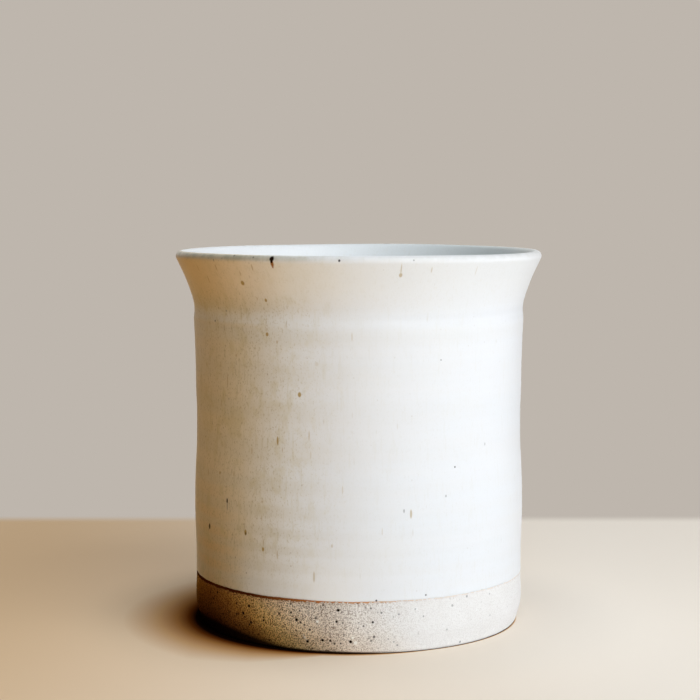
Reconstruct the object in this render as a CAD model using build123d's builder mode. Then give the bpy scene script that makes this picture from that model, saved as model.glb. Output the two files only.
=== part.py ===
"""A wheel-thrown utensil crock: a stoneware clay body under a white glaze coat.

The clay is one thrown lump: a turned foot with a bevelled edge and a shallow recess below,
a floor, a wall with the thrower's swells and ridge, a flared mouth and a rounded lip. The
glaze is a fired skin of its own material. It starts in a rolled edge above the bare clay
band, climbs the wall, goes over the lip, runs down the finger rings of the inside and
closes over the floor.

Millimetres, +Z up. The origin is the middle of the foot's resting plane.
"""

from build123d import *

import os
from math import cos, radians, sin

# Overall finished sizes, glaze included
height = 165.0
wall_radius = 73.0
wall_swell = 0.7
rim_radius = 81.2
mouth_height = 25.5
throat_band_height = 1.5
flare_lean = 27.0
lip_radius = 2.3

# Turned foot of bare clay
foot_radius = 70.6
shoulder_radius = 73.2
foot_bevel_height = 8.0
foot_bevel_softness = 16.0
foot_edge_bevel = 0.6
foot_ring_width = 13.0
recess_depth = 1.6
recess_slope_width = 3.0

# Wall and floor, glaze included
wall_thickness_low = 7.0
wall_thickness_high = 5.0
floor_thickness = 8.5
floor_corner_radius = 15.0

# Glaze
glaze_line_height = 22.2
glaze_thickness = 0.4
lip_glaze_thickness = 0.5
glaze_edge_roll = 1.1

# Finger rings inside, and flats of the clay that the glaze rounds over
inner_ring_count = 4
inner_ring_depth = 0.5
clay_lip_flats = 3
clay_corner_flats = 2

# Outside wall between the glaze line and the throat: how far up, and how far out of the
# plain cylinder in swells. Low swell, waist, upper wall, foot and top of the ridge.
wall_rise_shares = (0.23, 0.565, 0.78, 0.90, 0.965)
wall_swell_shares = (0.55, -1.0, -0.4, 0.1, 0.55)
throat_swell_share = 0.15

# Middle station of the flare between the throat and the lip: how far up, and how far out
flare_rise_share = 0.52
flare_reach_share = 0.40

throat_height = height - mouth_height
wall_height = throat_height - throat_band_height
throat_radius = wall_radius + wall_swell * throat_swell_share
bare_radius = wall_radius - glaze_thickness
inner_radius_high = throat_radius - wall_thickness_high
inner_radius_low = wall_radius - wall_thickness_low
corner_height = floor_thickness + floor_corner_radius
corner_radius = inner_radius_low - floor_corner_radius
recess_radius = foot_radius - foot_ring_width

up = (0, 1)
down = (0, -1)
outward = (1, 0)
lean_up = (sin(radians(flare_lean)), cos(radians(flare_lean)))


def mouth(radius, lip):
    """Draw one face of the mouth: the throat's band at a radius, and the flare to the lip."""
    throat = (radius, throat_height)
    middle = (
        radius + (lip[0] - radius) * flare_reach_share,
        throat_height + (lip[1] - throat_height) * flare_rise_share,
    )
    Line((radius, wall_height), throat)
    Spline(throat, middle, lip, tangents=[up, lean_up])


def outside(start, skin, lip):
    """Draw the outside this far under the finished face, from the glaze line to the lip."""
    climb = wall_height - glaze_line_height
    wall = [
        (wall_radius + wall_swell * swell - skin, glaze_line_height + climb * rise)
        for rise, swell in zip(wall_rise_shares, wall_swell_shares)
    ]
    Spline(start, *wall, (throat_radius - skin, wall_height), tangents=[up, up])
    mouth(throat_radius - skin, lip)


def lip_point(radius, turn):
    """A place round the lip, turned in degrees from its outer face, 0, to its inner, 180."""
    angle = radians(turn - flare_lean)
    return (
        rim_radius - lip_radius + radius * cos(angle),
        height - lip_radius + radius * sin(angle),
    )


def finger_rings():
    """Draw the finished inside wall from the floor's corner up, in and out over its rings."""
    steps = 2 * inner_ring_count
    stations = []
    for step in range(steps + 1):
        share = step / steps
        radius = inner_radius_low + (inner_radius_high - inner_radius_low) * share
        ring = inner_ring_depth * (step % 2)
        stations.append((radius - ring, corner_height + (wall_height - corner_height) * share))
    Spline(*stations, tangents=[up, up])


def clay_lip():
    """The clay's lip: flats that the glaze rounds over, from the outside to the inside."""
    radius = lip_radius - lip_glaze_thickness
    return [
        lip_point(radius, 180 * flat / clay_lip_flats) for flat in range(clay_lip_flats + 1)
    ]


def clay_corner():
    """The clay's floor corner: flats just clear of the glaze, from the wall to the floor."""
    turn = 90 / (clay_corner_flats + 1)
    radius = (floor_corner_radius + glaze_thickness) / cos(radians(turn / 2))
    angles = [radians(turn * (flat + 0.5)) for flat in range(clay_corner_flats + 1)]
    return [
        (corner_radius + radius * cos(angle), corner_height - radius * sin(angle))
        for angle in angles
    ]


glaze_start = (bare_radius, glaze_line_height)
roll_top = (wall_radius, glaze_line_height + glaze_edge_roll)
clay_middle = (0, floor_thickness - glaze_thickness)


def clay_under_glaze():
    """The line where clay and glaze meet, from the glaze line over the lip to the middle."""
    lip = clay_lip()
    inner_radius = inner_radius_high + glaze_thickness
    outside(glaze_start, glaze_thickness, lip[0])
    Polyline(*lip)
    mouth(inner_radius, lip[-1])
    Polyline((inner_radius, wall_height), *clay_corner(), clay_middle)


def corner_of(section, place):
    """The corner of a section that lies nearest a place."""
    return section.vertices().sort_by_distance(place)[0]


# Clay body: foot, floor, wall, flare and lip, thrown and turned in one piece
foot_edge = (foot_radius, 0)
foot_shoulder = (shoulder_radius, foot_bevel_height)
recess_edge = (recess_radius, 0)
recess_top = (recess_radius - recess_slope_width, recess_depth)

with BuildPart() as clay_body:
    with BuildSketch(Plane.XZ) as clay_section:
        with BuildLine():
            clay_under_glaze()
            Polyline(
                clay_middle,
                (0, recess_depth),
                recess_top,
                recess_edge,
                foot_edge,
                foot_shoulder,
                glaze_start,
            )
        make_face()
        fillet(corner_of(clay_section, foot_shoulder), foot_bevel_softness)
        chamfer(corner_of(clay_section, foot_edge), foot_edge_bevel)
    revolve(axis=Axis.Z)
clay_body.part.label = "clay_body"

# Glaze coat: one skin over the wall, the lip, the inside and the floor
floor_edge = (corner_radius, floor_thickness)
lip_outside = lip_point(lip_radius, 0)
lip_inside = lip_point(lip_radius, 180)

with BuildPart() as glaze_coat:
    with BuildSketch(Plane.XZ):
        with BuildLine():
            clay_under_glaze()
            TangentArc(roll_top, glaze_start, tangent=down)
            outside(roll_top, 0, lip_outside)
            TangentArc(lip_inside, lip_outside, tangent=lean_up)
            mouth(inner_radius_high, lip_inside)
            finger_rings()
            TangentArc(floor_edge, (inner_radius_low, corner_height), tangent=outward)
            Polyline(floor_edge, (0, floor_thickness), clay_middle)
        make_face()
    revolve(axis=Axis.Z)
glaze_coat.part.label = "glaze_coat"

os.makedirs("parts", exist_ok=True)
export_step(clay_body.part, "parts/clay_body.step")
export_step(glaze_coat.part, "parts/glaze_coat.step")
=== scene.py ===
"""Looks of the utensil crock: thrown stoneware under a speckled white glaze.

Two finely built meshes stand in for the frame's two solids and keep their sizes. Profiles
are worked out in millimetres and scaled when a mesh is made; everything else is in metres.
The front of the crock faces -Y, and a bearing is an angle round it from there towards +X.
"""

import math
from collections import namedtuple

import bpy
import numpy as np
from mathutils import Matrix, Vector, noise


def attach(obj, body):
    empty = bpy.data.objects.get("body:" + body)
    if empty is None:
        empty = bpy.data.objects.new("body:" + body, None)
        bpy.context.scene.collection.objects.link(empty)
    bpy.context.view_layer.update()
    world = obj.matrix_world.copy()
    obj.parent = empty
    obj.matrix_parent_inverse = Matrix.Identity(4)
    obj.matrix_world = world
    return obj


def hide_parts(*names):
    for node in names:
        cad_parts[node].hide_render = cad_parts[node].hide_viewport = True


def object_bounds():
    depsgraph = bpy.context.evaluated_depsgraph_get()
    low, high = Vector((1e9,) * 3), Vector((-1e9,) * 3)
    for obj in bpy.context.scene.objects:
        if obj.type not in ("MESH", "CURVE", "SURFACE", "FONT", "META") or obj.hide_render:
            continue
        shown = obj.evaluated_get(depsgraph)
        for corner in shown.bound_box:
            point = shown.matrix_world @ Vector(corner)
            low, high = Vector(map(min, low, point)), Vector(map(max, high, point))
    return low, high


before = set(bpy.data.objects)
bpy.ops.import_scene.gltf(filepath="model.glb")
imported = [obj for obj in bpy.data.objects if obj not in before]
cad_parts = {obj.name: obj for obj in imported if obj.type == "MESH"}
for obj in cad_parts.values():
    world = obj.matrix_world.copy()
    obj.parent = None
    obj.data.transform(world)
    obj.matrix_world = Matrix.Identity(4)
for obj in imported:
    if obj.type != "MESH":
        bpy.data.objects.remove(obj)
cad_low, cad_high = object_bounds()

MM = 0.001

# Sizes read off the frame, in millimetres
height = cad_high.z / MM
rim_radius = cad_high.x / MM

# Sizes of the finished crock, in millimetres
glaze_line = 22.2
lip_radius = 2.3
flare_lean = math.radians(27)
floor_height = 8.5
floor_corner = 15.0
inner_radius_low = 66.0
glaze_depth = 0.4
bare_radius = 72.85
foot_ring_radius = 57.6
recess_slope = 3.0
recess_depth = 1.6

lip_centre = (rim_radius - lip_radius, height - lip_radius)
corner_centre = (inner_radius_low - floor_corner, floor_height + floor_corner)

# Outside of the glaze as (radius, height), from its rolled edge up to the lip
outside_stations = (
    (72.95, glaze_line + 1.2),
    (72.95, 33.0),
    (73.25, 42.0),
    (73.4, 50.0),
    (73.2, 64.0),
    (72.5, 79.0),
    (72.3, 90.0),
    (72.65, 106.0),
    (72.85, 120.0),
    (73.1, 127.0),
    (73.32, 132.5),
    (73.36, 135.8),
    (73.12, 139.0),
    (73.45, 142.2),
    (74.2, 145.2),
    (75.2, 148.2),
    (76.3, 151.2),
    (77.5, 154.2),
    (78.95, 157.4),
    (80.1, 159.9),
)

# Middles of the bright bands that the thrower's fingers left up the outside, and how far the
# wall leans in and out between them, as a share of their spacing
ring_levels = (
    17.0, 24.0, 31.0, 38.7, 46.0, 53.2, 63.2,
    74.8, 92.3, 108.0, 124.2, 137.8, 150.0, 162.0,
)
ring_slope = 0.002

# Inside of the glaze, from the lip down to the floor's corner
inside_stations = (
    (74.6, 158.2),
    (73.2, 155.0),
    (71.7, 151.4),
    (70.1, 147.6),
    (68.9, 143.6),
    (68.2, 139.0),
    (67.7, 110.0),
    (66.9, 66.0),
    (66.2, 34.0),
    (inner_radius_low, floor_height + floor_corner),
)

# Bare clay below the glaze line, down round the bevel to the resting ring
foot_stations = (
    (bare_radius, glaze_line),
    (72.9, 19.0),
    (73.1, 14.0),
    (73.12, 10.6),
    (72.9, 8.0),
    (72.25, 5.4),
    (71.45, 2.6),
    (70.95, 0.9),
    (70.5, 0.25),
    (69.9, 0.0),
)


def smooth_through(stations, step):
    """Points about one step apart on a smooth curve through the stations."""
    points = np.array(stations, dtype=float)
    chords = np.linalg.norm(np.diff(points, axis=0), axis=1)
    along = np.concatenate(([0.0], np.cumsum(chords)))
    slopes = np.gradient(points, along, axis=0)
    count = max(2, round(along[-1] / step))
    at = np.linspace(0.0, along[-1], count + 1)
    span = np.clip(np.searchsorted(along, at, side="right") - 1, 0, len(chords) - 1)
    width = chords[span][:, None]
    t = ((at - along[span])[:, None]) / width
    start, end = points[span], points[span + 1]
    return (
        (2 * t**3 - 3 * t**2 + 1) * start
        + (t**3 - 2 * t**2 + t) * slopes[span] * width
        + (3 * t**2 - 2 * t**3) * end
        + (t**3 - t**2) * slopes[span + 1] * width
    )


def arc(centre, radius, start, end, count):
    """Points on an arc between two angles, in radians."""
    angles = np.linspace(start, end, count)
    return np.stack(
        (centre[0] + radius * np.cos(angles), centre[1] + radius * np.sin(angles)), axis=1
    )


def straight(start, end, count):
    """Evenly spaced points on a line."""
    return np.linspace(start, end, count)


# Points nearer than this are one, in millimetres
same_place = 1e-4


def joined(*runs):
    """Runs of points as one, without the doubled points where they meet."""
    points = np.concatenate(runs)
    gaps = np.linalg.norm(np.diff(points, axis=0), axis=1)
    return points[np.concatenate(([True], gaps > same_place))]


def under(points, depth):
    """The line this deep under a finished line that runs with the clay on its left."""
    run = np.gradient(points, axis=0)
    run /= np.linalg.norm(run, axis=1)[:, None]
    return points + depth * np.stack((-run[:, 1], run[:, 0]), axis=1)


lip_outer = -flare_lean
lip_inner = math.pi - flare_lean

# How finely the profiles are cut: spacings in millimetres, then counts of rows
outside_step = 1.0
inside_step = 1.9
bare_step = 0.4
lip_rows = 15
corner_rows = 12
floor_rows = 30


def lip_point(angle):
    """A place on the lip's round, at an angle in radians above straight outwards."""
    return (
        lip_centre[0] + lip_radius * math.cos(angle),
        lip_centre[1] + lip_radius * math.sin(angle),
    )


finished_outside = joined(
    smooth_through((*outside_stations, lip_point(lip_outer)), outside_step),
    arc(lip_centre, lip_radius, lip_outer, lip_inner, lip_rows),
)
finished_inside = joined(
    smooth_through((lip_point(lip_inner), *inside_stations), inside_step),
    arc(corner_centre, floor_corner, 0.0, -math.pi / 2, corner_rows),
    straight((corner_centre[0], floor_height), (0.0, floor_height), floor_rows),
)
finished = joined(finished_outside, finished_inside)

# Hidden line where clay and glaze meet, from the glaze line over the lip to the middle. It
# keeps every sixth row of the finished line, and every second one round the floor's corner,
# where longer flats would come through the finished face.
hidden_step = 6
corner_step = 2
first_hidden = 2
corner_margin = 1.0

numbers = np.arange(len(finished))
in_corner = (
    (numbers > len(finished_outside))
    & (finished[:, 0] > corner_centre[0] - corner_margin)
    & (finished[:, 1] < corner_centre[1] + corner_margin)
)
spread = numbers[first_hidden:-hidden_step:hidden_step]
kept = np.union1d(spread, numbers[in_corner][::corner_step])
meeting = under(finished, glaze_depth)[np.append(kept, numbers[-1])]
meeting[-1, 0] = 0.0
meeting = np.concatenate((((bare_radius, glaze_line),), meeting))

# Waver of the glaze's edge: waves round it, slice of the noise and height in millimetres
edge_ripples = ((2.2, 4.0, 0.45), (13.0, 9.0, 0.22), (38.0, 2.0, 0.14))


def edge_lift(bearing):
    """How far the glaze's edge wavers above or below its line, in millimetres."""
    return sum(
        amount * noise.noise((pace * math.cos(bearing), pace * math.sin(bearing), part))
        for pace, part, amount in edge_ripples
    )


def fade(value, low, high):
    """0 below low, 1 above high, smooth between."""
    t = np.clip((value - low) / (high - low), 0.0, 1.0)
    return t * t * (3 - 2 * t)


def between(value, rise, fall):
    """1 between two soft steps and 0 outside them, each step from its start to its end."""
    return fade(value, *rise) * (1 - fade(value, *fall))


# Middle of the wall's thickness up the mouth, which parts the outside from the inside
middle_levels = (139.0, 148.2, 155.0, lip_centre[1])
middle_radii = (70.6, 72.8, 75.5, lip_centre[0])
parting = 0.5


def outside_share(radii, heights):
    """1 on the outside face, 0 on the inside and the floor, and a soft step in the lip."""
    return fade(radii - np.interp(heights, middle_levels, middle_radii), -parting, parting)


def ring_phase(level):
    """How many finger rings lie below a height on the outside: whole at each bright band."""
    return np.interp(level, ring_levels, np.arange(len(ring_levels)))


# Soft steps between which the marks of throwing lie, in millimetres up or out
outer_ring_levels = ((glaze_line - 2.0, glaze_line + 10.0), (141.0, 152.0))
inner_ring_levels = ((16.0, 34.0), (132.0, 150.0))
swirl_levels = ((5.0, 7.5), (8.8, 14.0))
swirl_reaches = ((1.0, 9.0), (44.0, 52.0))
uneven_levels = (2.0, 150.0)
uneven_reaches = (20.0, 60.0)
lip_levels = (146.0, height - 1.0)

# Ripples that the fingers leave: depth, spacing, way round and start of each
outer_ripples = ((0.016, 3.9, -1, 2.0), (0.012, 1.7, -1, 0.0))
inner_ripples = ((0.24, 9.5, 1, 0.0), (0.05, 3.1, 1, 0.0))
swirl_ripples = ((0.28, 9.0, 1, 0.0),)

# Slow waves once round the crock and round its lip: depth, number and start of each
uneven_waves = ((0.16, 2, 0.9 + math.pi / 2), (0.07, 3, math.pi / 2 - 0.5))
lip_waves = ((0.16, 2, 2.2), (0.07, 5, 0.0))


def ripples(along, turn, layers):
    """Ripples that spiral round as they go along, in millimetres."""
    return sum(
        depth * np.sin(math.tau * (along / spacing + way * turn) + start)
        for depth, spacing, way, start in layers
    )


def slow_waves(around, layers):
    """Waves that close on themselves once round, in millimetres."""
    return sum(depth * np.sin(number * around + start) for depth, number, start in layers)


def thrown(bearings, radii, heights, worked):
    """What hand throwing adds to a turned form: radial and upward moves, in millimetres.

    Worked is 1 on a finished face and 0 on a hidden one, which has no finger marks.
    """
    around, level = np.meshgrid(bearings, heights)
    reach = np.broadcast_to(radii[:, None], around.shape)
    turn = around / math.tau
    outside = outside_share(reach, level)
    inside = 1 - outside
    spacing = np.interp(level, ring_levels, np.gradient(ring_levels))
    broad = -ring_slope * spacing * np.sin(math.tau * ring_phase(level))
    rings_out = between(level, *outer_ring_levels) * (broad + ripples(level, turn, outer_ripples))
    rings_in = between(level, *inner_ring_levels) * ripples(level, turn, inner_ripples)
    radial = worked * (outside * rings_out + inside * rings_in)
    uneven = fade(level, *uneven_levels) * fade(reach, *uneven_reaches)
    radial += uneven * slow_waves(around, uneven_waves)
    upward = fade(level, *lip_levels) * slow_waves(around, lip_waves)
    swirl = between(reach, *swirl_reaches) * ripples(reach, turn, swirl_ripples)
    upward += worked * inside * between(level, *swirl_levels) * swirl
    return radial, upward


Section = namedtuple("Section", "rows columns worked radial upward marks")


def bearings_of(columns):
    """Evenly spaced bearings, one for each column."""
    return np.arange(columns) * math.tau / columns


def band(above, below):
    """Faces from one ring of vertices down to the next: each its first vertex and its count."""
    (top, many), (low, few) = above, below
    if many == few:
        turns = [(i, (i + 1) % many) for i in range(many)]
        return [(top + i, low + i, low + beside, top + beside) for i, beside in turns]
    faces = []
    i = j = 0
    while i < many or j < few:
        here, there = top + i % many, low + j % few
        if (i + 1) * few <= (j + 1) * many:
            i += 1
            faces.append((here, there, top + i % many))
        else:
            j += 1
            faces.append((here, there, low + j % few))
    return faces


def lathe(name, sections, top, bottom, body="root"):
    """A closed mesh turned from sections of rows, from the axis at one height to another.

    Each row is (radius, height), in millimetres. A section has its own number of columns, 1
    or 0 for finger marks or none, its radial and upward moves, and its named marks, one value
    of each for every vertex.
    """
    places = [np.array([(0.0, 0.0, top)])]
    marks = {label: [np.zeros(1)] for label in sections[0].marks}
    rings = []
    first = 1
    for rows, columns, worked, more_radial, more_upward, values in sections:
        bearings = bearings_of(columns)
        radial, upward = thrown(bearings, rows[:, 0], rows[:, 1], worked)
        reach = rows[:, 0][:, None] + radial + more_radial
        level = rows[:, 1][:, None] + upward + more_upward
        ring = np.stack((reach * np.sin(bearings), -reach * np.cos(bearings), level), axis=2)
        places.append(ring.reshape(-1, 3))
        for label, value in values.items():
            marks[label].append((value + np.zeros_like(level)).ravel())
        rings += [(first + row * columns, columns) for row in range(len(rows))]
        first += len(rows) * columns
    places.append(np.array([(0.0, 0.0, bottom)]))
    faces = [face for above, below in zip(rings, rings[1:]) for face in band(above, below)]
    start, columns = rings[0]
    faces += [(0, start + i, start + (i + 1) % columns) for i in range(columns)]
    start, columns = rings[-1]
    faces += [(start + i, first, start + (i + 1) % columns) for i in range(columns)]

    mesh = bpy.data.meshes.new(name)
    mesh.from_pydata((np.concatenate(places) * MM).tolist(), [], faces)
    mesh.polygons.foreach_set("use_smooth", [True] * len(mesh.polygons))
    for label, values in marks.items():
        layer = mesh.attributes.new(label, "FLOAT", "POINT")
        layer.data.foreach_set("value", np.concatenate(values + [np.zeros(1)]))
    mesh.update()
    piece = bpy.data.objects.new(name, mesh)
    bpy.context.scene.collection.objects.link(piece)
    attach(piece, body)
    return piece


# Columns round each face
hidden_columns = 180
glaze_columns = 320
bare_columns = 1080
underside_columns = 240

# Rolled edge of the glaze: its radius, how far it stands out of the clay, its rows, and how
# far up the wall its waver reaches
edge_roll = 0.6
edge_proud = 0.14
edge_rows = 5
waver_reach = 7.0


def edge_lifts(columns):
    """The waver of the glaze's edge at each column."""
    return np.array([edge_lift(bearing) for bearing in bearings_of(columns)])


def make_glaze_skin():
    """The glaze coat, closed: its finished face and the hidden face against the clay."""
    edge = arc((bare_radius, glaze_line + edge_roll), edge_roll, -math.pi / 2, 0.0, edge_rows)
    edge[:, 0] -= edge_roll - edge_proud
    sections = []
    for rows, columns, worked in (
        (joined(finished[::-1], edge[::-1])[1:], glaze_columns, 1.0),
        (meeting[:-1], hidden_columns, 0.0),
    ):
        radii, heights = rows[:, 0], rows[:, 1]
        lift = edge_lifts(columns)
        outer = outside_share(radii, heights)
        near_edge = 1 - fade(heights, glaze_line, glaze_line + waver_reach)
        upward = (near_edge * outer)[:, None] * lift
        above = (heights - glaze_line)[:, None] + (upward - lift) * outer[:, None]
        ringed = outer * between(heights, *outer_ring_levels)
        ring = ringed * np.cos(math.tau * ring_phase(heights))
        marks = {"outer": outer[:, None], "above_edge": above, "ring": ring[:, None]}
        sections.append(Section(rows, columns, worked, 0.0, upward, marks))
    return lathe("glaze_skin", sections, finished[-1, 1], meeting[-1, 1])


bare = smooth_through(foot_stations, bare_step)
bare_along = np.concatenate(([0.0], np.cumsum(np.linalg.norm(np.diff(bare, axis=0), axis=1))))

# Relief of the bare clay, in millimetres
pit_depth = 0.24
crumb_height = 0.16
sand_height = 0.045
grit_height = 0.035
turning_height = 0.012
turning_pace, drift_pace, turning_drift = 3.1, 0.9, 1.2
relief_levels = ((0.1, 0.7), (glaze_line - 0.9, glaze_line))

# Random pits and crumbs: how many, least size and what chance adds to it, and strengths
pit_count = 420
pit_size, pit_spread = 0.3, 0.42
pit_strengths = (0.4, 1.0)
crumb_count = 200
crumb_size, crumb_spread = 0.4, 0.5
crumb_strengths = (0.2, 0.6)

# How far they keep from the clay's edges, and how much smaller and shallower the pits are
# within this bearing of the front, where others are listed
edge_margin = 0.8
front_bearing = math.radians(80)
front_calm = 0.6

# Rows of the underside: the resting ring, the recess's slope and its flat
ring_rows = 9
slope_rows = 6
recess_rows = 22

# How far a soft spot is worked out, in its own sizes
spot_reach = 3


def dab(field, bearing, level, size, amount):
    """Add one soft round spot to a field over the bare clay, sizes in millimetres."""
    columns = field.shape[1]
    step = math.tau * bare_radius / columns
    reach = math.ceil(spot_reach * size / step)
    centre = bearing * bare_radius / step
    near = np.arange(math.floor(centre) - reach, math.floor(centre) + reach + 2)
    aside = (near - centre) * step
    down = bare_along - np.interp(level, bare[::-1, 1], bare_along[::-1])
    spot = amount * np.exp(-(aside[None, :] ** 2 + down[:, None] ** 2) / size**2)
    field[:, near % columns] = np.maximum(field[:, near % columns], spot)


def clay_relief():
    """The bare clay's relief, in millimetres, and how far each point lies in a pit or crumb."""
    rng = np.random.RandomState(7)
    pits = np.zeros((len(bare), bare_columns))
    crumbs = np.zeros((len(bare), bare_columns))
    for _ in range(pit_count):
        size = pit_size + pit_spread * rng.rand() ** 3
        bearing = rng.uniform(0, math.tau)
        level = rng.uniform(edge_margin, glaze_line - edge_margin)
        at_front = abs(math.remainder(bearing, math.tau)) < front_bearing
        calm = front_calm if at_front else 1.0
        dab(pits, bearing, level, size * calm, calm * rng.uniform(*pit_strengths))
    for _ in range(crumb_count):
        size = crumb_size + crumb_spread * rng.rand() ** 2
        bearing = rng.uniform(0, math.tau)
        level = rng.uniform(edge_margin, glaze_line)
        dab(crumbs, bearing, level, size, rng.uniform(*crumb_strengths))
    for field, seen in ((pits, foot_pits), (crumbs, foot_crumbs)):
        for across, down, size, amount in seen:
            dab(field, *on_wall(across, down), size, amount)
    sand = rng.rand(len(bare), bare_columns) - 0.5
    grit = (sand + np.roll(sand, 1, axis=0) + np.roll(sand, 1, axis=1)) / 2
    drift = turning_drift * np.sin(bare_along * drift_pace)
    turning = np.sin(bare_along * turning_pace + drift)[:, None]
    radial = crumb_height * crumbs - pit_depth * pits
    radial += sand_height * sand + grit_height * grit + turning_height * turning
    radial *= between(bare[:, 1], *relief_levels)[:, None]
    return radial, pits, crumbs


def make_clay_foot():
    """The clay body, closed: bare foot, resting ring and recess, and the face under the glaze."""
    slope_top = (foot_ring_radius - recess_slope, recess_depth)
    underside = joined(
        straight(foot_stations[-1], (foot_ring_radius, 0.0), ring_rows),
        straight((foot_ring_radius, 0.0), slope_top, slope_rows),
        straight(slope_top, (0.0, recess_depth), recess_rows),
    )[1:-1]
    sections = []
    for rows, columns, worked, (relief, pit, crumb) in (
        (meeting[-2:0:-1], hidden_columns, 0.0, (0.0, 0.0, 0.0)),
        (bare, bare_columns, 1.0, clay_relief()),
        (underside, underside_columns, 0.0, (0.0, 0.0, 0.0)),
    ):
        below = (glaze_line + edge_lifts(columns))[None, :] - rows[:, 1][:, None]
        marks = {"below_edge": below, "pit": pit, "crumb": crumb}
        sections.append(Section(rows, columns, worked, relief, 0.0, marks))
    return lathe("clay_foot_and_wall", sections, meeting[-1, 1], recess_depth)


def feed(tree, node, inputs):
    """Give a node its inputs: a link from a socket, and anything else as a plain value."""
    for name, value in inputs.items():
        if isinstance(value, bpy.types.NodeSocket):
            tree.links.new(value, node.inputs[name])
        else:
            node.inputs[name].default_value = value


def add(tree, kind, inputs=None, **settings):
    """A shader node of a kind, with its settings and inputs."""
    made = tree.nodes.new("ShaderNode" + kind)
    for name, value in settings.items():
        setattr(made, name, value)
    feed(tree, made, inputs or {})
    return made


def place_and_parts(tree):
    """A point's place on its object, whole and as its three parts."""
    place = add(tree, "TexCoord").outputs["Object"]
    return place, add(tree, "SeparateXYZ", {"Vector": place}).outputs


def length(tree, place):
    """How far a place lies from the origin."""
    return add(tree, "VectorMath", {0: place}, operation="LENGTH").outputs["Value"]


def ramp(tree, value, low, high, start=0.0, end=1.0, steps="SMOOTHSTEP"):
    """A value mapped from one range to another, clamped."""
    inputs = {"Value": value, "From Min": low, "From Max": high, "To Min": start, "To Max": end}
    return add(tree, "MapRange", inputs, interpolation_type=steps).outputs["Result"]


def maths(tree, operation, first, second=0.0):
    """One sum on two values."""
    return add(tree, "Math", {0: first, 1: second}, operation=operation).outputs[0]


def times(tree, *factors):
    """Two or more values multiplied."""
    product = factors[0]
    for factor in factors[1:]:
        product = maths(tree, "MULTIPLY", product, factor)
    return product


def mark(tree, name):
    """A value that the mesh holds at each vertex."""
    return add(tree, "Attribute", attribute_name=name).outputs["Fac"]


# Sockets of a mix node that mixes colours: amount, first and second, and the result
mix_inputs = (0, 6, 7)
mix_result = 2


def mix(tree, amount, first, second, blend="MIX"):
    """Two colours mixed by an amount."""
    inputs = dict(zip(mix_inputs, (amount, first, second)))
    settings = {"data_type": "RGBA", "blend_type": blend, "clamp_result": True}
    return add(tree, "Mix", inputs, **settings).outputs[mix_result]


def mix_shaders(tree, amount, first, second):
    """Two shaders mixed by an amount."""
    inputs = {0: amount, 1: first, 2: second}
    return add(tree, "MixShader", inputs).outputs["Shader"]


def layered(tree, colour, *layers):
    """A colour with others laid over it in turn, each given as its amount and its colour."""
    for amount, tint in layers:
        colour = mix(tree, amount, colour, tint)
    return colour


def grain(tree, place, scale, detail=2.0, roughness=0.5):
    """Cloudy noise from 0 to 1."""
    inputs = {"Vector": place, "Scale": scale, "Detail": detail, "Roughness": roughness}
    return add(tree, "TexNoise", inputs).outputs["Fac"]


def stretched(tree, place, factors):
    """A place with each axis scaled, to draw a pattern out along one of them."""
    inputs = {0: place, 1: factors}
    return add(tree, "VectorMath", inputs, operation="MULTIPLY").outputs["Vector"]


def blended(tree, value, stops):
    """A colour that runs through stops, (value, colour) each, as the value climbs."""
    colour = stops[0][1]
    for (low, _), (high, following) in zip(stops, stops[1:]):
        colour = mix(tree, ramp(tree, value, low, high, steps="LINEAR"), colour, following)
    return colour


# The smallest of a pattern's spots, as a share of the largest
least_spot = 0.35


def spots(tree, place, scale, share, size, soft):
    """Random round spots: in this share of the cells of a pattern, as large as size."""
    inputs = {"Vector": place, "Scale": scale, "Randomness": 1.0}
    cells = add(tree, "TexVoronoi", inputs, feature="F1")
    chance = add(tree, "SeparateColor", {"Color": cells.outputs["Color"]})
    chosen = maths(tree, "LESS_THAN", chance.outputs["Red"], share)
    reach = times(tree, ramp(tree, chance.outputs["Green"], 0.0, 1.0, least_spot, 1.0), size)
    beyond = maths(tree, "SUBTRACT", cells.outputs["Distance"], reach)
    return times(tree, ramp(tree, beyond, -soft, soft, 1.0, 0.0), chosen)


def new_material(name):
    """An empty node material with its shader and output."""
    material = bpy.data.materials.new(name)
    material.use_nodes = True
    tree = material.node_tree
    tree.nodes.clear()
    shader = add(tree, "BsdfPrincipled")
    add(tree, "OutputMaterial", {"Surface": shader.outputs["BSDF"]})
    return material, tree, shader


def bumped(tree, relief, strength, distance):
    """The normal of a surface with fine relief."""
    inputs = {"Height": relief, "Strength": strength, "Distance": distance}
    return add(tree, "Bump", inputs).outputs["Normal"]


# Camera, as the photograph was taken: 700 pixels square
photo_size = 700
focal_pixels = 1809.8
sensor_width = 36.0
camera_place = Vector((-0.00387, -0.8068, 0.1924))
camera_pitch = math.radians(5.121)

camera_data = bpy.data.cameras.new("camera")
camera_data.sensor_fit = "HORIZONTAL"
camera_data.sensor_width = sensor_width
camera_data.lens = focal_pixels * sensor_width / photo_size
camera = bpy.data.objects.new("camera", camera_data)
camera.location = camera_place
camera.rotation_euler = (math.pi / 2 - camera_pitch, 0, 0)
bpy.context.scene.collection.objects.link(camera)
bpy.context.scene.camera = camera


# The outside from the foot to the top of the lip
outside_line = np.concatenate((bare[::-1], finished_outside[: -lip_rows // 2]))

# The search for a pixel's height on it: how far below the camera it starts, in millimetres,
# and how often it closes in
search_start = 40.0
search_rounds = 6


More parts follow.
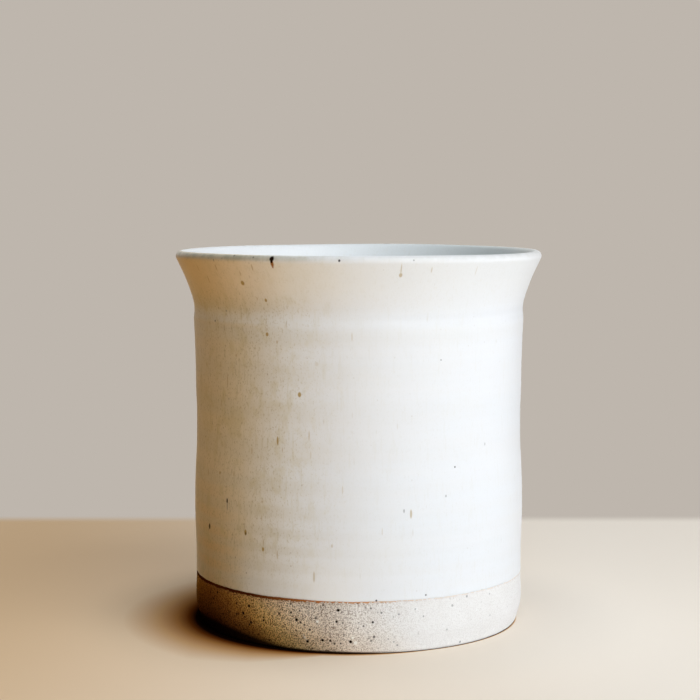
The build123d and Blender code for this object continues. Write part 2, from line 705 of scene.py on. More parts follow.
def on_wall(across, down):
    """Bearing and height, in millimetres, of the outside's point at a pixel of the photo."""
    half = photo_size / 2
    ray = Vector(((across - half) / focal_pixels, 1.0, (half - down) / focal_pixels))
    turned = Vector(
        (
            ray.x,
            ray.y * math.cos(camera_pitch) + ray.z * math.sin(camera_pitch),
            ray.z * math.cos(camera_pitch) - ray.y * math.sin(camera_pitch),
        )
    )
    levels, radii = outside_line[:, 1], outside_line[:, 0]
    level = camera_place.z / MM - search_start
    for _ in range(search_rounds):
        radius = float(np.interp(level, levels, radii)) * MM
        a = turned.x**2 + turned.y**2
        b = camera_place.x * turned.x + camera_place.y * turned.y
        c = camera_place.x**2 + camera_place.y**2 - radius**2
        reach = (-b - math.sqrt(max(b * b - a * c, 0.0))) / a
        spot = camera_place + turned * reach
        level = spot.z / MM
    return math.atan2(spot.x, -spot.y), level


# Iron specks as seen in the photo: pixel across and down, half width and half length in
# millimetres, and strength
dark_specks = (
    (271.8, 258.9, 1.15, 1.15, 1.0), (271.5, 261, 0.65, 1.0, 1.0), (339.3, 260.7, 0.5, 0.6, 0.9),
    (413.8, 260.3, 0.4, 0.4, 0.45), (234.3, 255.6, 0.4, 0.4, 0.7), (253.5, 257.4, 0.4, 0.4, 0.6),
    (213.5, 260, 0.35, 0.6, 0.5), (222, 258.4, 0.35, 0.4, 0.4), (215.2, 320.8, 0.45, 0.5, 0.7),
    (226.3, 310.8, 0.5, 0.45, 0.4), (441, 360, 0.35, 0.4, 0.5), (455, 467, 0.4, 0.45, 0.75),
    (227.2, 500.8, 0.55, 1.2, 0.95), (227.2, 505.5, 0.3, 2.4, 0.55), (209.7, 526.2, 0.75, 1.4, 1.0),
    (245.7, 533.6, 0.5, 0.7, 0.6), (446, 496, 0.3, 0.6, 0.5), (485, 444, 0.3, 0.8, 0.4),
    (404, 511, 0.3, 0.9, 0.5), (425.8, 595, 0.45, 0.45, 0.7), (376.3, 600.6, 0.45, 0.45, 0.9),
    (229, 398.7, 0.3, 0.5, 0.35),
)
rust_specks = (
    (272.1, 263.6, 0.8, 1.5, 1.0), (272.6, 265.9, 0.5, 1.1, 0.9),
)
ochre_specks = (
    (400.6, 275.2, 0.75, 0.95, 0.6), (401.2, 269.5, 0.3, 2.6, 0.4), (242.7, 283, 1.05, 1.05, 0.85),
    (266, 300.3, 0.65, 0.8, 0.85), (257.3, 298.7, 0.35, 0.8, 0.35), (267.3, 334.3, 0.75, 0.9, 0.85),
    (266.8, 329.5, 0.25, 0.9, 0.35), (277.2, 342, 0.4, 0.8, 0.5), (299.6, 394.7, 0.8, 1.15, 0.85),
    (277.8, 440.8, 0.5, 2.0, 0.8), (309.2, 435.8, 0.35, 2.2, 0.35), (282.5, 450, 0.3, 1.2, 0.3),
    (310.8, 455, 0.3, 1.8, 0.2), (252, 450.8, 0.35, 1.5, 0.4), (220, 472.8, 0.55, 0.8, 0.7),
    (208.3, 472.5, 0.4, 1.8, 0.5), (234, 474, 0.35, 1.2, 0.4), (262.2, 501.7, 0.4, 0.6, 0.4),
    (245.5, 532.4, 0.75, 1.3, 0.85), (263, 549.2, 0.6, 1.0, 0.85), (263.3, 542.5, 0.3, 1.6, 0.35),
    (261.7, 518.3, 0.3, 1.4, 0.3), (277.3, 555, 0.35, 1.9, 0.4), (314, 577, 0.5, 2.4, 0.4),
    (411, 514, 0.5, 2.0, 0.55), (332, 546, 0.5, 0.8, 0.3), (382.2, 531.7, 0.3, 1.6, 0.2),
    (342.5, 490, 0.3, 1.8, 0.2), (227.5, 380, 0.4, 3.2, 0.4), (221.7, 404, 0.35, 1.4, 0.35),
    (236.3, 355.3, 0.5, 0.6, 0.45), (240.8, 407.5, 0.4, 0.5, 0.35), (316.7, 364, 0.9, 0.9, 0.15),
    (252.2, 267.5, 0.35, 1.5, 0.5), (216, 267.5, 0.35, 1.5, 0.5), (208.5, 279.2, 0.35, 1.8, 0.5),
    (198, 268, 0.35, 1.4, 0.4), (240.2, 273.3, 0.3, 1.2, 0.35), (431.7, 270, 0.35, 1.3, 0.3),
    (476.3, 270.8, 0.3, 2.2, 0.2), (352, 337, 0.3, 2.0, 0.25), (467, 596.3, 0.45, 0.45, 0.55),
    (481.8, 589.8, 0.4, 0.4, 0.4),
)

# Pits and pale crumbs of the bare clay as seen in the photo: pixel across and down, half
# width in millimetres, and strength
foot_pits = (
    (236.3, 603.4, 0.5, 0.8), (248.8, 606, 0.65, 1.0), (243.1, 613, 0.65, 1.0),
    (244.8, 616.9, 0.5, 0.8), (250.8, 622.3, 0.65, 0.9), (249.4, 624.4, 0.5, 0.8),
    (263.3, 617.5, 0.45, 0.8), (263.5, 620.2, 0.45, 0.9), (228.8, 611.3, 0.45, 0.7),
    (271, 605.4, 0.4, 0.6), (290.6, 604.1, 0.45, 0.8), (278.9, 613.4, 0.5, 0.8),
    (290.8, 612.8, 0.45, 0.9), (296.4, 619.8, 0.65, 1.0), (300.5, 622.5, 0.5, 0.8),
    (304.5, 625, 0.45, 0.7), (296.1, 630.6, 0.45, 0.7), (309.8, 629.8, 0.5, 0.8),
    (315.8, 618.2, 0.45, 0.8), (323.3, 604.8, 0.5, 0.7), (338.1, 610.3, 0.6, 1.0),
    (336.5, 621.9, 0.5, 0.9), (342.6, 623.1, 0.4, 0.6), (325.4, 626.9, 0.4, 0.5),
    (307.4, 641.4, 0.6, 1.0), (322.5, 640.3, 0.6, 1.0), (330.1, 640.8, 0.5, 0.9),
    (334.4, 643.7, 0.5, 0.7), (341, 643.4, 0.4, 0.5), (350.6, 641.8, 0.65, 1.0),
    (312.3, 648.3, 0.5, 0.6), (357.8, 603, 0.5, 0.9), (370.8, 608.5, 0.4, 0.7),
    (381.4, 612.9, 0.4, 0.7), (398.8, 614.3, 0.4, 0.5), (372.8, 622.3, 0.5, 0.9),
    (363.5, 626.3, 0.4, 0.7), (374, 637, 0.5, 0.75), (371, 640.9, 0.4, 0.7),
    (368.8, 638.5, 0.4, 0.5), (393.8, 641.9, 0.35, 0.5), (397.3, 645.3, 0.4, 0.55),
    (452.4, 605.5, 0.5, 0.4), (423.5, 616.3, 0.35, 0.4), (415.3, 609.1, 0.35, 0.45),
    (460, 641.9, 0.5, 0.5), (466.9, 596.3, 0.5, 0.45), (446.9, 629.5, 0.45, 0.3),
    (489.4, 593.8, 0.4, 0.35), (490, 615.2, 0.4, 0.3), (210.5, 592.5, 0.5, 0.7),
    (217.3, 592.2, 0.5, 0.9), (266, 599.2, 0.45, 0.7), (344, 634.5, 0.4, 0.5),
    (283, 626.5, 0.4, 0.5), (269.5, 640, 0.45, 0.6), (282, 617.8, 0.4, 0.5),
    (258, 616.9, 0.4, 0.6), (286.5, 619.5, 0.35, 0.5),
)
foot_crumbs = (
    (317.4, 621.6, 0.75, 1.0), (305, 637.5, 0.8, 0.9), (303.5, 635, 0.6, 0.8),
    (306.8, 639.8, 0.5, 0.8), (352.5, 638, 0.9, 0.8), (355.5, 643, 1.1, 0.9),
    (419.5, 634, 0.6, 0.5),
)

# Where a placed speck starts to fade and where it ends, as shares of its half width
speck_core = 0.6
speck_rim = 1.2


def placed_specks(tree, place, outer, specks):
    """How strongly the listed specks cover each point of the outside."""
    parts = add(tree, "SeparateXYZ", {"Vector": place}).outputs
    bearing = maths(tree, "ARCTAN2", parts["X"], times(tree, parts["Y"], -1.0))
    flat = add(tree, "CombineXYZ", {"X": bearing, "Y": parts["Z"]}).outputs[0]
    total = None
    for across, down, half_width, half_length, strength in specks:
        at_bearing, level = on_wall(across, down)
        radius = float(np.interp(level, outside_line[:, 1], outside_line[:, 0]))
        stretch = Vector((radius / half_width, 1.0 / (half_length * MM), 0.0))
        centre = Vector((at_bearing * stretch.x, level * MM * stretch.y, 0.0))
        inputs = {0: flat, 1: stretch, 2: -centre}
        gap = add(tree, "VectorMath", inputs, operation="MULTIPLY_ADD").outputs[0]
        mask = ramp(tree, length(tree, gap), speck_core, speck_rim, strength, 0.0)
        total = mask if total is None else maths(tree, "MAXIMUM", total, mask)
    return times(tree, total, outer)


# How far X is drawn towards +X behind the crock, and between which Y, in metres
behind = (-0.045, 0.03)
behind_shift = 0.06


def toast_and_shade_side(tree, along):
    """X, drawn towards +X round the back, keeping toast and painted shade at the front left."""
    return maths(tree, "ADD", along["X"], ramp(tree, along["Y"], *behind, 0.0, behind_shift))


# Glaze tints by X in metres, from the toasted front left towards the right: the wall, with
# painted warm shade at the front left; the inside, painted darker towards +X as shade; the
# flare, with painted warm light off the floor, partly thin glaze; and the ridge under it, with
# a painted light band at the left and painted shade at the right
toasted_and_shaded_tints = (
    (-0.068, (0.80, 0.69, 0.53, 1)),
    (-0.05, (0.82, 0.71, 0.53, 1)),
    (-0.04, (0.84, 0.785, 0.69, 1)),
    (-0.028, (0.90, 0.897, 0.885, 1)),
    (-0.012, (0.862, 0.868, 0.893, 1)),
)
# Inside: painted shade, darker towards +X
inside_shade_tints = (
    (-0.04, (0.85, 0.862, 0.875, 1)),
    (0.01, (0.80, 0.83, 0.843, 1)),
    (0.06, (0.72, 0.765, 0.765, 1)),
)
# Flare: painted warm light off the floor at the front left, partly thin glaze
flare_light_tints = (
    (-0.07, (0.83, 0.65, 0.44, 1)),
    (-0.05, (0.95, 0.82, 0.67, 1)),
    (-0.03, (0.92, 0.88, 0.81, 1)),
    (-0.004, (0.875, 0.868, 0.85, 1)),
    (0.015, (0.85, 0.85, 0.845, 1)),
)
ridge_light_and_shade_tints = ((-0.03, (0.86, 0.866, 0.87, 1)), (0.025, (0.75, 0.76, 0.78, 1)))

# Single colours of the glaze
warm_white = (0.838, 0.845, 0.863, 1)
cool_white = (0.828, 0.845, 0.871, 1)
cream = (0.85, 0.80, 0.725, 1)
low_toast_and_shade = (0.74, 0.51, 0.23, 1)
dark_band_tan = (0.70, 0.65, 0.54, 1)
under_ridge_shade_grey = (0.79, 0.785, 0.77, 1)
patch_ochre = (0.62, 0.53, 0.28, 1)
streak_olive = (0.58, 0.51, 0.32, 1)
dust_olive = (0.46, 0.38, 0.2, 1)
lip_shade_olive = (0.36, 0.34, 0.25, 1)
clean_white = (0.95, 0.93, 0.90, 1)
tick_brown = (0.40, 0.31, 0.15, 1)
pinprick_brown = (0.28, 0.18, 0.08, 1)
fleck_rust = (0.34, 0.2, 0.055, 1)
blot_black = (0.03, 0.018, 0.01, 1)
speck_ochre = (0.42, 0.26, 0.03, 1)
speck_rust = (0.36, 0.13, 0.015, 1)
speck_black = (0.016, 0.007, 0.003, 1)
edge_toast = (0.56, 0.34, 0.17, 1)

# Where the tints of the outside come in and go out, in metres: levels, rises and falls by
# height, and the others by X
thin_reach = (-0.075, 0.012)
low_levels = (0.03, 0.085)
low_reach = (-0.07, -0.043)
flare_rise = (0.1395, 0.154)
flare_fall = (0.1610, 0.1640)
ridge_rise = (0.1345, 0.137)
ridge_fall = (0.139, 0.1435)
hollow_rise = (0.127, 0.131)
hollow_fall = (0.1335, 0.136)
lip_rise = (0.1621, 0.1638)
lip_fall = (0.1645, 0.1651)
lip_reach = (-0.05, -0.012)
clean_levels = (0.024, 0.05)
clean_left = (-0.056, -0.042)
clean_right = (-0.015, 0.01)


def glaze_material():
    """White satin glaze over an iron-bearing body, thinner and toasted at the front left.

    There and round the mouth, shade and light are partly painted into its colour.
    """
    material, tree, shader = new_material("white_glaze")
    place, along = place_and_parts(tree)
    level = along["Z"]
    outer = mark(tree, "outer")
    inner_face = maths(tree, "SUBTRACT", 1.0, outer)
    side = toast_and_shade_side(tree, along)
    thin_and_shaded = times(tree, ramp(tree, side, *thin_reach, 1.0, 0.0), outer)

    bands = grain(tree, stretched(tree, place, (0.35, 0.35, 3.2)), 28.0, 4.0, 0.6)
    clouds = grain(tree, stretched(tree, place, (1.0, 1.0, 1.6)), 24.0, 3.0, 0.55)
    mottle = grain(tree, stretched(tree, place, (1.0, 1.0, 0.7)), 190.0, 3.0, 0.6)
    streaks = grain(tree, stretched(tree, place, (1.0, 1.0, 0.12)), 820.0, 3.0, 0.6)
    fine = grain(tree, stretched(tree, place, (1.0, 1.0, 0.6)), 1500.0, 2.0, 0.6)

    # The glaze itself: toasted where it is thin, with painted warm shade, most of all low down,
    # and bluer inside, with painted shade towards +X
    creamy = times(tree, ramp(tree, clouds, 0.45, 0.75), ramp(tree, thin_and_shaded, 0, 1, 0.12, 0.5))
    # Painted warm shade low on the front left
    low = times(
        tree,
        ramp(tree, level, *low_levels, 0.85, 0.0),
        ramp(tree, side, *low_reach, 1.0, 0.0),
        outer,
    )
    # Painted shade: tan on the down-facing bands between the bright finger rings
    dark_band_shade = times(
        tree,
        ramp(tree, mark(tree, "ring"), 0.8, -0.8),
        ramp(tree, clouds, 0.3, 0.7, 0.4, 1.0),
        ramp(tree, thin_and_shaded, 0, 0.7, 0.035, 0.5),
    )
    colour = layered(
        tree,
        mix(tree, ramp(tree, bands, 0.32, 0.68), warm_white, cool_white),
        (creamy, cream),
        (maths(tree, "POWER", thin_and_shaded, 0.7), blended(tree, side, toasted_and_shaded_tints)),
        (low, low_toast_and_shade),
        (inner_face, blended(tree, along["X"], inside_shade_tints)),
        (dark_band_shade, dark_band_tan),
    )

    # The mouth: its flare, with painted warm light, the ridge, with a painted light band at the
    # left and painted shade at the right, and the hollow below it, with painted shade
    flare = times(
        tree,
        ramp(tree, level, *flare_rise),
        outer,
        ramp(tree, level, *flare_fall, 1.0, 0.1),
        ramp(tree, clouds, 0.2, 0.8, 0.75, 1.0),
    )
    # Painted light band on the ridge at the left, painted shade on it at the right
    ridge = times(
        tree, ramp(tree, level, *ridge_rise), ramp(tree, level, *ridge_fall, 0.5, 0.0), outer
    )
    # Painted shade in the hollow under the ridge
    under_ridge = times(
        tree, ramp(tree, level, *hollow_rise), ramp(tree, level, *hollow_fall, 0.25, 0.0), outer
    )
    colour = layered(
        tree,
        colour,
        (flare, blended(tree, side, flare_light_tints)),
        (ridge, blended(tree, side, ridge_light_and_shade_tints)),
        (under_ridge, under_ridge_shade_grey),
    )

    # Iron showing through the thin glaze, painted shade along the lip at the left, and the clean
    # band over the bare clay
    thin_and_shaded = times(tree, thin_and_shaded, ramp(tree, flare, 0.0, 1.0, 1.0, 0.4))
    patchy = times(tree, ramp(tree, mottle, 0.48, 0.72, 0.0, 0.5), thin_and_shaded)
    drawn = times(tree, ramp(tree, streaks, 0.52, 0.74), ramp(tree, thin_and_shaded, 0, 1, 0.07, 0.45))
    dusty = times(tree, ramp(tree, fine, 0.53, 0.74), ramp(tree, thin_and_shaded, 0, 1, 0.06, 0.75))
    lip_edge = times(
        tree,
        ramp(tree, level, *lip_rise),
        ramp(tree, level, *lip_fall, 1.0, 0.0),
        ramp(tree, side, *lip_reach, 0.85, 0.22),
        ramp(tree, mottle, 0.35, 0.6, 0.6, 1.0),
        outer,
    )
    clean = times(
        tree,
        ramp(tree, level, *clean_levels, 0.6, 0.0),
        ramp(tree, side, *clean_left),
        ramp(tree, side, *clean_right, 1.0, 0.0),
        outer,
    )
    ticks = spots(tree, stretched(tree, place, (1.0, 1.0, 0.22)), 330.0, 0.30, 0.11, 0.05)
    pinpricks = spots(tree, stretched(tree, place, (1.0, 1.0, 0.7)), 420.0, 0.10, 0.12, 0.05)
    colour = layered(
        tree,
        colour,
        (patchy, patch_ochre),
        (drawn, streak_olive),
        (dusty, dust_olive),
        (lip_edge, lip_shade_olive),
        (clean, clean_white),
        (times(tree, ticks, ramp(tree, thin_and_shaded, 0, 1, 0.16, 0.5)), tick_brown),
        (times(tree, pinpricks, ramp(tree, thin_and_shaded, 0, 1, 0.15, 0.7)), pinprick_brown),
    )

    # Specks: random ones at the back and inside, and at the front those of the photo
    elsewhere = maths(tree, "MAXIMUM", ramp(tree, along["Y"], 0.0, 0.012), inner_face)
    drawn_out = stretched(tree, place, (1.0, 1.0, 0.55))
    flecks = spots(tree, drawn_out, 118.0, 0.42, 0.085, 0.03)
    blots = spots(tree, drawn_out, 97.0, 0.3, 0.06, 0.025)
    ochre = placed_specks(tree, place, outer, ochre_specks)
    dark = placed_specks(tree, place, outer, dark_specks)
    above = ramp(tree, mark(tree, "above_edge"), 0.0, 0.4, 0.6, 0.0)
    colour = layered(
        tree,
        colour,
        (times(tree, flecks, elsewhere), fleck_rust),
        (times(tree, blots, elsewhere), blot_black),
        (ochre, speck_ochre),
        (placed_specks(tree, place, outer, rust_specks), speck_rust),
        (dark, speck_black),
        (times(tree, above, ramp(tree, thin_and_shaded, 0, 0.6, 0.1, 1)), edge_toast),
    )

    # Satin, but dull on the specks and where it is most toasted
    dull = maths(tree, "MAXIMUM", dark, times(tree, ochre, 0.7))
    dull = maths(tree, "MAXIMUM", dull, times(tree, low, 0.8))
    peel = grain(tree, stretched(tree, place, (1.0, 1.0, 0.45)), 420.0, 2.0, 0.5)
    relief = maths(tree, "ADD", times(tree, peel, 0.2), times(tree, bands, 0.3))
    inputs = {
        "Base Color": colour,
        "Roughness": maths(tree, "MAXIMUM", ramp(tree, clouds, 0.3, 0.7, 0.34, 0.46), dull),
        "Specular IOR Level": ramp(tree, dull, 0.0, 1.0, 0.5, 0.0),
        "IOR": 1.5,
        "Normal": bumped(tree, relief, strength=0.25, distance=0.0006),
    }
    feed(tree, shader, inputs)
    return material


# Clay tints from the front left up and to the right, painted darker and browner low at the
# front left as shade: the clay by X plus height in metres, and what its dark sand and light
# grit multiply it by, by X
clay_and_shade_tints = (
    (-0.056, (0.15, 0.045, 0.01, 1)),
    (-0.045, (0.34, 0.13, 0.03, 1)),
    (-0.037, (0.56, 0.26, 0.06, 1)),
    (-0.030, (0.85, 0.49, 0.15, 1)),
    (-0.024, (0.95, 0.63, 0.26, 1)),
    (-0.015, (0.96, 0.72, 0.46, 1)),
    (-0.004, (0.93, 0.81, 0.68, 1)),
    (0.012, (0.91, 0.86, 0.80, 1)),
    (0.03, (0.87, 0.85, 0.83, 1)),
)
sand_tints = ((-0.03, (0.11, 0.08, 0.065, 1)), (0.0, (0.42, 0.34, 0.29, 1)))
grit_tints = ((-0.03, (1.8, 1.85, 1.9, 1)), (0.0, (1.3, 1.32, 1.34, 1)))

# The line under the glaze's edge, from where it is faint to where it is most toasted, partly
# painted shade at its darkest
line_tints = (
    (0.0, (0.82, 0.67, 0.54, 1)),
    (0.3, (0.62, 0.32, 0.13, 1)),
    (0.55, (0.46, 0.15, 0.03, 1)),
    (0.85, (0.085, 0.014, 0.003, 1)),
)

# Single colours of the clay; the first three multiply what is under them
cloud_shade = (0.80, 0.75, 0.70, 1)
grain_shade = (0.2, 0.12, 0.08, 1)
pale_shade = (1.12, 1.14, 1.16, 1)
hole_shade_brown = (0.04, 0.02, 0.012, 1)
rust_brown = (0.26, 0.10, 0.04, 1)
pit_shade_black = (0.014, 0.006, 0.003, 1)
chalk = (0.97, 0.93, 0.86, 1)
foot_contact_brown = (0.06, 0.022, 0.008, 1)
foot_shadow_black = (0.012, 0.004, 0.002, 1)
halo_brown = (0.34, 0.17, 0.07, 1)

# How much wider the listed pits are painted than they are cut
pit_rim = 1.15

# Where the clay's tints come in and go out, in metres, named as the glaze's are; resting_edge
# is a radius, and the painted foot shadow rises with X by the slope below
coarse_reach = (-0.016, 0.03)
pale_reach = (-0.03, 0.0)
resting_edge = (0.0699, 0.0703)
foot_contact_levels = (0.0004, 0.0012)
foot_contact_reach = (-0.005, 0.02)
foot_shadow_levels = (-0.0048, -0.0020)
foot_shadow_slope = 0.16
line_reach = (-0.06, 0.035)


def clay_material():
    """Bare sandy stoneware, painted darker and browner low at the front left as shade: grog,
    pits, crumbs, a toasted line.
    """
    material, tree, shader = new_material("bare_clay")
    place, along = place_and_parts(tree)
    side = toast_and_shade_side(tree, along)
    browning_and_shade = maths(tree, "ADD", side, along["Z"])
    coarse = ramp(tree, side, *coarse_reach, 1.0, 0.16)

    turning = {"Vector": place, "Rotation": (0.6, 0.35, 0.9)}
    turned = add(tree, "Mapping", turning).outputs["Vector"]
    clouds = grain(tree, place, 60.0, 4.0, 0.6)
    sand = grain(tree, place, 1900.0, 3.0, 0.75)
    grit = grain(tree, place, 2700.0, 2.0, 0.7)
    notches = grain(tree, turned, 650.0, 2.0, 0.6)

    # The clay's grain, over tints with painted shade at the front left
    colour = blended(tree, browning_and_shade, clay_and_shade_tints)
    cloudy = times(tree, ramp(tree, clouds, 0.35, 0.65, 0.0, 0.6), coarse)
    colour = mix(tree, cloudy, colour, cloud_shade, "MULTIPLY")
    dark_sand = times(tree, ramp(tree, sand, 0.47, 0.6), coarse)
    colour = mix(tree, dark_sand, colour, blended(tree, side, sand_tints), "MULTIPLY")
    light_grit = times(tree, ramp(tree, grit, 0.5, 0.62), coarse)
    colour = mix(tree, light_grit, colour, blended(tree, side, grit_tints), "MULTIPLY")
    small = times(tree, spots(tree, turned, 1150.0, 0.45, 0.26, 0.08), coarse, 0.85)
    colour = mix(tree, small, colour, grain_shade, "MULTIPLY")
    # Dark holes: partly painted shade in them, partly dark grains
    holes = times(tree, spots(tree, turned, 560.0, 0.28, 0.2, 0.05), coarse)
    rusty = times(tree, spots(tree, turned, 330.0, 0.14, 0.17, 0.06), coarse, 0.8)
    colour = layered(tree, colour, (times(tree, holes, 0.9), hole_shade_brown), (rusty, rust_brown))
    pale = times(tree, spots(tree, turned, 260.0, 0.10, 0.17, 0.07), 0.5)
    colour = mix(tree, pale, colour, pale_shade, "MULTIPLY")

    # Pits and crumbs, and painted contact shadow low on the foot
    # Pits painted near black: partly painted shade in them, partly dark grains
    in_pit = ramp(tree, mark(tree, "pit"), 0.36, 0.58)
    pitted = times(tree, in_pit, ramp(tree, coarse, 0.1, 0.6, 0.6, 0.97))
    seen_pits = [
        (across, down, pit_rim * width, pit_rim * width, amount)
        for across, down, width, amount in foot_pits
    ]
    pitted = maths(tree, "MAXIMUM", pitted, placed_specks(tree, place, 1.0, seen_pits))
    paler = ramp(tree, browning_and_shade, *pale_reach, 0.1, 1.0)
    chalky = times(tree, ramp(tree, mark(tree, "crumb"), 0.35, 0.7), paler)
    radius = length(tree, stretched(tree, place, (1.0, 1.0, 0.0)))
    outer_edge = ramp(tree, radius, *resting_edge)
    # Painted contact shadow along the resting edge, strongest at the left
    foot_contact_shade = times(
        tree,
        outer_edge,
        ramp(tree, along["Z"], *foot_contact_levels, 1.0, 0.0),
        ramp(tree, along["X"], *foot_contact_reach, 0.95, 0.1),
    )
    # Painted shadow: a dark wedge low on the foot at the front left
    foot_shadow_level = maths(tree, "ADD", along["Z"], times(tree, side, foot_shadow_slope))
    foot_shadow = times(tree, outer_edge, ramp(tree, foot_shadow_level, *foot_shadow_levels, 0.93, 0.0))
    colour = layered(
        tree,
        colour,
        (pitted, pit_shade_black),
        (chalky, chalk),
        (foot_contact_shade, foot_contact_brown),
        (foot_shadow, foot_shadow_black),
    )

    # The toasted line under the glaze's edge, and the halo below it, darker and wider towards the
    # front left, partly as painted shade
    worn = mark(tree, "below_edge")
    worn = maths(tree, "ADD", worn, ramp(tree, notches, 0.3, 0.7, -0.4, 0.4, "LINEAR"))
    worn = maths(tree, "ADD", worn, ramp(tree, clouds, 0.3, 0.7, -0.2, 0.2, "LINEAR"))
    shade = ramp(tree, side, *line_reach, 1.0, 0.0, "LINEAR")
    halo_end = ramp(tree, shade, 0, 1, 0.8, 3.0)
    halo = ramp(tree, worn, 0.1, halo_end, ramp(tree, shade, 0, 1, 0.1, 0.75), 0.0)
    halo = times(tree, halo, ramp(tree, sand, 0.42, 0.58, 0.5, 1.0))
    width = ramp(tree, shade, 0.25, 1, 0.03, 1.4)
    strength = ramp(tree, shade, 0, 0.4, 0.55, 0.97)
    line = ramp(tree, worn, times(tree, width, 0.7), width, strength, 0.0)
    line_tint = blended(tree, shade, line_tints)
    colour = layered(tree, colour, (halo, halo_brown), (line, line_tint))

    relief = maths(tree, "ADD", times(tree, sand, 0.6), times(tree, grit, 0.4))
    relief = maths(tree, "SUBTRACT", relief, times(tree, holes, 0.6))
    inputs = {
        "Base Color": colour,
        "Roughness": 0.88,
        "Specular IOR Level": 0.0,
        "Normal": bumped(tree, relief, strength=0.6, distance=0.0004),
    }
    feed(tree, shader, inputs)
    return material


glaze_skin = make_glaze_skin()
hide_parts("glaze_coat")
glaze_skin.data.materials.append(glaze_material())

clay_foot = make_clay_foot()
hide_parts("clay_body")
clay_foot.data.materials.append(clay_material())


def seen_directly(tree):
    """1 where the camera or a reflection looks, 0 for light that bounces."""
    path = add(tree, "LightPath").outputs
    return maths(tree, "MAXIMUM", path["Is Camera Ray"], path["Is Glossy Ray"])


# Floor: a plain pale surface that ends behind the crock, where the plain background starts.
# It is dark close to the foot, in its shadow, and the shadow reaches further towards -X:
# shadow_ends gives how far, in metres, by X.
background = (0.515, 0.468, 0.418, 1)
floor_left = (0.86, 0.62, 0.38, 1)
floor_right = (0.93, 0.86, 0.77, 1)
glow_left = (0.62, 0.42, 0.25, 1)
glow_right = (1.0, 0.90, 0.78, 1)
bounce_left = (1.0, 0.54, 0.08, 1)
bounce_right = (0.96, 0.94, 0.91, 1)
contact_shades = (
    (0.0, (0.012, 0.004, 0.002, 1)),
    (0.1, (0.2, 0.065, 0.012, 1)),
    (0.25, (0.5, 0.28, 0.11, 1)),
    (0.5, (0.75, 0.56, 0.36, 1)),
    (1.0, (1.0, 1.0, 1.0, 1)),
)
shadow_ends = (
    (-0.07, (0.036,) * 4),
    (-0.045, (0.026,) * 4),
    (-0.015, (0.006,) * 4),
    (0.03, (0.0012,) * 4),
)
foot_edge = 0.0702

# Its size and the Y and the distance where it gives way to the background, in metres
floor_size = 30
floor_end = 0.236
floor_end_softness = 0.012
floor_faint = (0.5, 1.3)

# By X: where its left tint gives way to its right one, how wide the shadow's core is, and how
# far bounced light is darkened and tinted; then how far out it is lifted, and by how much
floor_sides = (-0.2, 0.14)
core_sides, core_widths = (-0.07, 0.03), (0.0032, 0.0003)
dim_sides, dim_widths = (-0.07, 0.0), (0.10, 0.0005)
bounce_sides = (-0.16, 0.05)
lift_reach, lift_share = (0.078, 0.14), 0.3


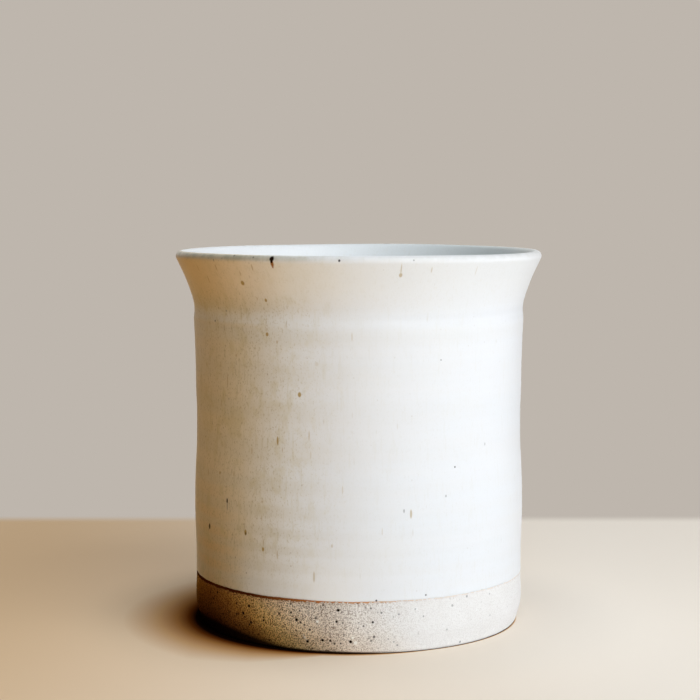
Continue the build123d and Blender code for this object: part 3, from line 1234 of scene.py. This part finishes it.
def floor_material():
    """The floor: seen with its warm side, shadow and glow, and a plainer tint for bounces."""
    material, tree, shader = new_material("floor")
    place, along = place_and_parts(tree)
    far = length(tree, place)
    gap = maths(tree, "SUBTRACT", far, foot_edge)
    directly = seen_directly(tree)
    side = ramp(tree, along["X"], *floor_sides)

    # As seen: darker close to the foot
    core = ramp(tree, along["X"], *core_sides, *core_widths)
    shade_end = blended(tree, along["X"], shadow_ends)
    shading = blended(tree, ramp(tree, gap, core, shade_end, steps="LINEAR"), contact_shades)
    shown = mix(tree, 1.0, mix(tree, side, floor_left, floor_right), shading, "MULTIPLY")

    # As light bounces off it
    bounce_end = ramp(tree, along["X"], *dim_sides, *dim_widths)
    bounce_side = ramp(tree, along["X"], *bounce_sides)
    bounce = mix(
        tree,
        ramp(tree, gap, 0.0, bounce_end, 0.0, 1.0),
        contact_shades[0][1],
        mix(tree, bounce_side, bounce_left, bounce_right),
    )
    base = mix(tree, directly, bounce, shown)
    feed(tree, shader, {"Base Color": base, "Roughness": 0.9, "Specular IOR Level": 0.0})

    # Lifted a little away from the foot, and plain background past its end
    inputs = {"Color": mix(tree, side, glow_left, glow_right), "Strength": 1.0}
    glow = add(tree, "Emission", inputs).outputs["Emission"]
    lifted = times(tree, ramp(tree, far, *lift_reach, 0.0, lift_share), directly)
    soft = mix_shaders(tree, lifted, shader.outputs["BSDF"], glow)
    ends = ramp(
        tree, along["Y"], floor_end - floor_end_softness, floor_end + floor_end_softness
    )
    to_camera = add(tree, "LightPath").outputs["Is Camera Ray"]
    past = maths(tree, "MAXIMUM", ramp(tree, far, *floor_faint), times(tree, ends, to_camera))
    inputs = {"Color": background, "Strength": 1.0}
    plain = add(tree, "Emission", inputs).outputs["Emission"]
    surface = mix_shaders(tree, times(tree, past, directly), soft, plain)
    feed(tree, tree.nodes["Material Output"], {"Surface": surface})
    return material


bpy.ops.mesh.primitive_plane_add(size=floor_size)
floor = bpy.context.object
floor.name = "floor"
floor.data.materials.append(floor_material())

# Plain background, and a weak even fill for light that bounces
fill_tint = (1.0, 0.95, 0.88, 1)
fill_strength = 0.025

world = bpy.data.worlds.new("world")
bpy.context.scene.world = world
world.use_nodes = True
world_tree = world.node_tree
world_tree.nodes.clear()
fill, backdrop = (
    add(world_tree, "Background", {"Color": light, "Strength": power}).outputs[0]
    for light, power in ((fill_tint, fill_strength), (background, 1.0))
)
surroundings = mix_shaders(world_tree, seen_directly(world_tree), fill, backdrop)
add(world_tree, "OutputWorld", {"Surface": surroundings})


def panel(name, bearing, rise, distance, size, power, colour):
    """A square soft light aimed at the middle of the crock, placed by angles in degrees."""
    data = bpy.data.lights.new(name, "AREA")
    data.shape = "SQUARE"
    data.size = size
    data.energy = power
    data.color = colour
    light = bpy.data.objects.new(name, data)
    around, above = math.radians(bearing), math.radians(rise)
    away = Vector(
        (math.cos(above) * math.sin(around), -math.cos(above) * math.cos(around), math.sin(above))
    )
    light.location = Vector((0, 0, height * MM / 2)) + distance * away
    light.rotation_euler = away.to_track_quat("Z", "Y").to_euler()
    bpy.context.scene.collection.objects.link(light)


# Lights: bearing and rise in degrees, distance and size in metres, power and colour
for light_settings in (
    ("key", 35, 32, 1.3, 1.35, 17.4, (0.93, 0.97, 1.0)),
    ("side", 98, 15, 1.3, 1.2, 4.1, (1.0, 0.97, 1.0)),
    ("overhead", 0, 90, 1.35, 0.5, 3.5, (0.84, 0.94, 1.0)),
    ("back", 195, 30, 1.3, 1.2, 2.6, (1.0, 0.97, 0.93)),
):
    panel(*light_settings)

view_settings = bpy.context.scene.view_settings
view_settings.view_transform = "Standard"
